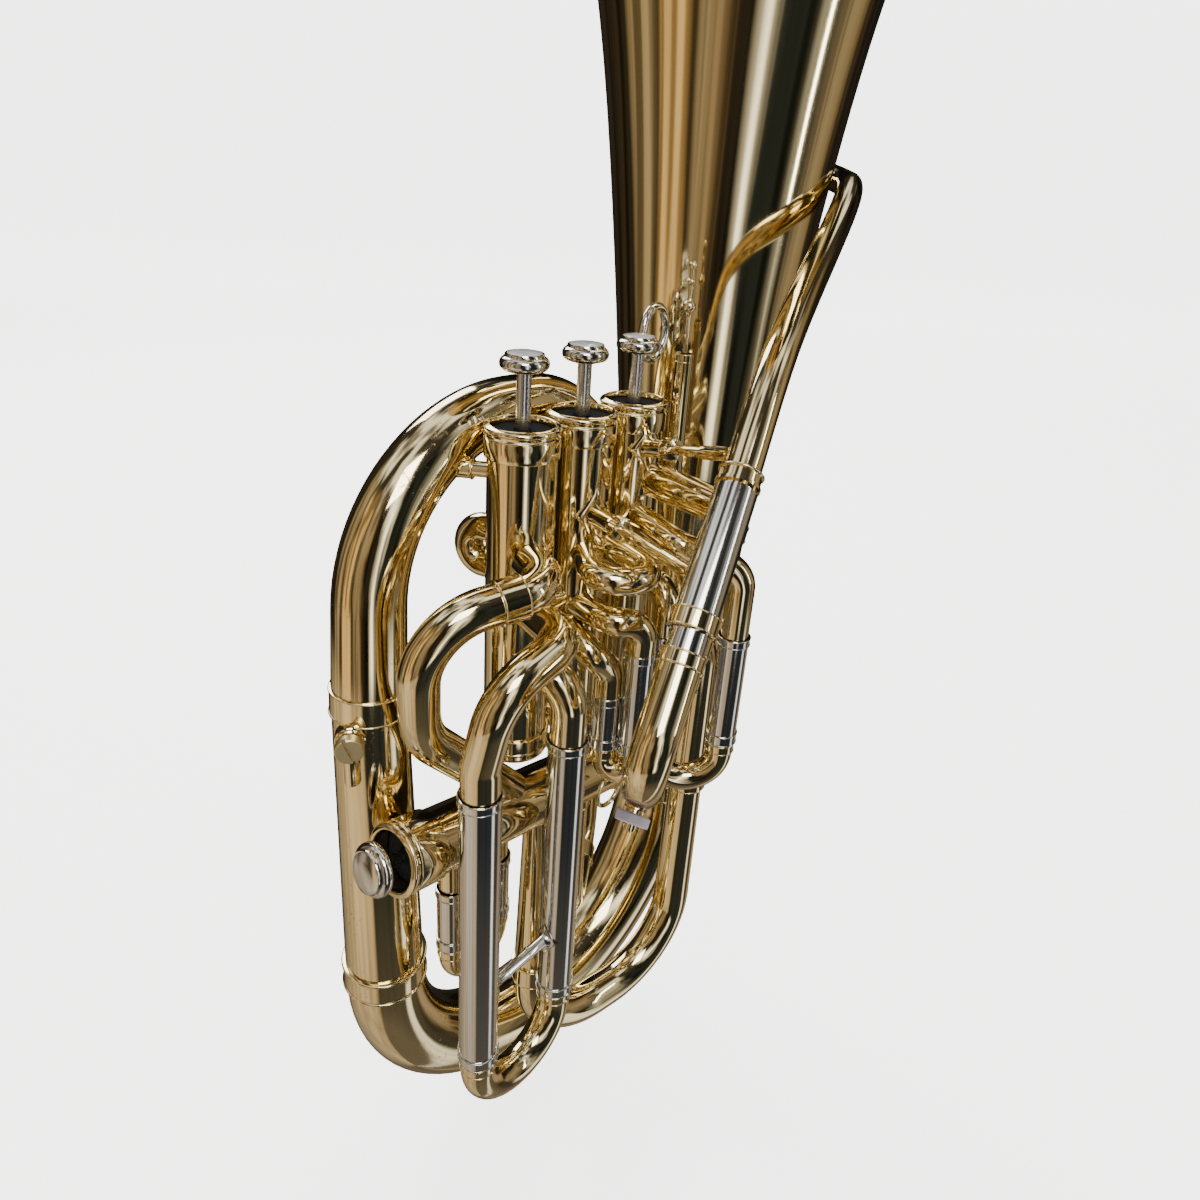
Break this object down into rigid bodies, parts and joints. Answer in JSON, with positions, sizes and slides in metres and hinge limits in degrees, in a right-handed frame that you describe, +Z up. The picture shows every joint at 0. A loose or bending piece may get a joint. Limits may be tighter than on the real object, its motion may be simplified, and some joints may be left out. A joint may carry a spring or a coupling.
{
  "type": "four-valve tuba",
  "caption": "Upright brass tuba with three upright piston valves, a fourth valve lying below them, pull-out slides, and a wide bell rising beside the valves.",
  "frame": {"origin": "middle of the box's underside: below the middle of the instrument at the height of the guard's flat foot", "axes": "+Z up along the bell, +X from the left branch towards the bell along the valve row, +Y towards the player (the valves' tuning slides face -Y)"},
  "size_m": [0.4946, 0.3926, 0.855],
  "materials": {
    "lacquered_brass": "polished",
    "nickel_silver": "polished",
    "valve_steel": "satin",
    "black_felt": "matte",
    "grey_rubber": "matte"
  },
  "bodies": {
    "horn": {"bell": "lacquered_brass", "bottom_bow": "lacquered_brass", "outer_branch": "lacquered_brass", "top_bow": "lacquered_brass", "inner_branch": "lacquered_brass", "leadpipe": "lacquered_brass", "main_return": "lacquered_brass", "valve_block": "lacquered_brass", "fourth_casing": "lacquered_brass", "fourth_loop": "lacquered_brass", "top_cap_1": "lacquered_brass", "top_cap_2": "lacquered_brass", "top_cap_3": "lacquered_brass", "top_cap_4": "lacquered_brass", "bottom_cap_1": "lacquered_brass", "bottom_cap_2": "lacquered_brass", "bottom_cap_3": "lacquered_brass", "bottom_cap_4": "lacquered_brass", "first_tubing_a": "lacquered_brass", "first_tubing_b": "lacquered_brass", "second_tubing_a": "lacquered_brass", "second_tubing_b": "lacquered_brass", "third_tubing_a": "lacquered_brass", "third_tubing_b": "lacquered_brass", "second_loop": "lacquered_brass", "crossing_loop": "lacquered_brass", "back_loop": "lacquered_brass", "upper_leadpipe_stay": "lacquered_brass", "lower_leadpipe_stay": "lacquered_brass", "trigger_barrel": "lacquered_brass", "bottom_guard": "nickel_silver", "branch_ferrule": "nickel_silver", "mouthpiece_receiver": "nickel_silver", "main_sleeve": "nickel_silver", "slide_stay": "nickel_silver", "thumb_ring": "nickel_silver", "piston_spring_1": "valve_steel", "piston_spring_2": "valve_steel", "piston_spring_3": "valve_steel", "piston_spring_4": "valve_steel", "valve_felt_1": "black_felt", "valve_felt_2": "black_felt", "valve_felt_3": "black_felt", "valve_felt_4": "black_felt"},
    "valve_1": {"piston_1": "valve_steel", "finger_button_1": "nickel_silver"},
    "valve_2": {"piston_2": "valve_steel", "finger_button_2": "nickel_silver"},
    "valve_3": {"piston_3": "valve_steel", "finger_button_3": "nickel_silver"},
    "valve_4": {"piston_4": "valve_steel", "finger_button_4": "nickel_silver"},
    "main_slide_body": {"main_slide": "lacquered_brass"},
    "water_valve": {"water_ring": "grey_rubber"},
    "first_slide_body": {"first_slide": "lacquered_brass"},
    "second_slide_body": {"second_slide": "lacquered_brass"},
    "third_slide_body": {"third_slide": "lacquered_brass"},
    "fourth_slide_body": {"fourth_slide": "lacquered_brass"},
    "trigger": {"trigger_rod": "lacquered_brass"},
    "lyre_thumbscrew": {"lyre_screw": "lacquered_brass"}
  },
  "joints": [
    {"name": "valve_1_press", "type": "slide", "parent": "horn", "child": "valve_1", "axis": [0, 0, -1], "range_m": [0, 0.018], "stiffness_N_per_m": 180, "springref_m": -0.02, "deforming": ["piston_spring_1"]},
    {"name": "valve_2_press", "type": "slide", "parent": "horn", "child": "valve_2", "axis": [0, 0, -1], "range_m": [0, 0.018], "stiffness_N_per_m": 180, "springref_m": -0.02, "deforming": ["piston_spring_2"]},
    {"name": "valve_3_press", "type": "slide", "parent": "horn", "child": "valve_3", "axis": [0, 0, -1], "range_m": [0, 0.018], "stiffness_N_per_m": 180, "springref_m": -0.02, "deforming": ["piston_spring_3"]},
    {"name": "valve_4_press", "type": "slide", "parent": "horn", "child": "valve_4", "axis": [0.9829, 0, -0.1839], "range_m": [0, 0.015], "stiffness_N_per_m": 180, "springref_m": -0.02, "deforming": ["piston_spring_4"]},
    {"name": "main_slide_pull", "type": "slide", "parent": "horn", "child": "main_slide_body", "axis": [-0.6527, -0.1802, -0.7358], "range_m": [0, 0.05]},
    {"name": "water_ring_lift", "type": "slide", "parent": "main_slide_body", "child": "water_valve", "axis": [0.6527, 0.1802, 0.7358], "range_m": [0, 0.0012], "stiffness_N_per_m": 900, "springref_m": -0.002},
    {"name": "first_slide_pull", "type": "slide", "parent": "horn", "child": "first_slide_body", "axis": [0, 0, -1], "range_m": [0, 0.045]},
    {"name": "second_slide_pull", "type": "slide", "parent": "horn", "child": "second_slide_body", "axis": [0, 0, -1], "range_m": [0, 0.022]},
    {"name": "third_slide_pull", "type": "slide", "parent": "horn", "child": "third_slide_body", "axis": [0, 0, -1], "range_m": [0, 0.09]},
    {"name": "fourth_slide_pull", "type": "slide", "parent": "horn", "child": "fourth_slide_body", "axis": [0, 0, -1], "range_m": [0, 0.025]},
    {"name": "trigger_push", "type": "slide", "parent": "horn", "child": "trigger", "axis": [0, 0, -1], "range_m": [0, 0.012], "stiffness_N_per_m": 150, "springref_m": -0.012},
    {"name": "lyre_screw_turn", "type": "hinge", "parent": "horn", "child": "lyre_thumbscrew", "pos_m": [-0.23083, -0.00634, 0.339], "axis": [-0.6, -0.8, 0], "range_deg": [0, 360]}
  ]
}
